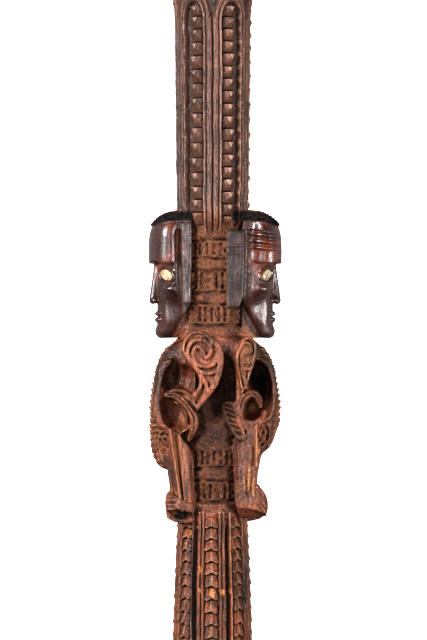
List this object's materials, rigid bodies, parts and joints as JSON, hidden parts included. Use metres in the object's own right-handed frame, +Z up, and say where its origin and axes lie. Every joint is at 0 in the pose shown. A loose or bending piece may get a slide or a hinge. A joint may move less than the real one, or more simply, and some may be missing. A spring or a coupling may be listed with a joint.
{
  "type": "carved ceremonial staff",
  "caption": "Dark hardwood staff carved with fluted, notched lengths and a pair of figures back to back whose eyes are shell inlays; it lies on small flat spots.",
  "frame": {"origin": "under the middle of the lying staff, on the surface that it lies on", "axes": "+Y along the staff towards its grip, +Z up, which is the staff's front; the figures face -X and +X"},
  "size_m": [0.0588, 0.9, 0.0395],
  "materials": {
    "carved_wood": "dark hand-carved hardwood, oiled and worn, glossier on the heads",
    "shell_inlay": "polished cream shell with a faint green and yellow sheen"
  },
  "bodies": {
    "root": {"staff": "carved_wood", "left_figure_front_eye": "shell_inlay", "left_figure_back_eye": "shell_inlay", "right_figure_front_eye": "shell_inlay", "right_figure_back_eye": "shell_inlay"}
  },
  "joints": []
}
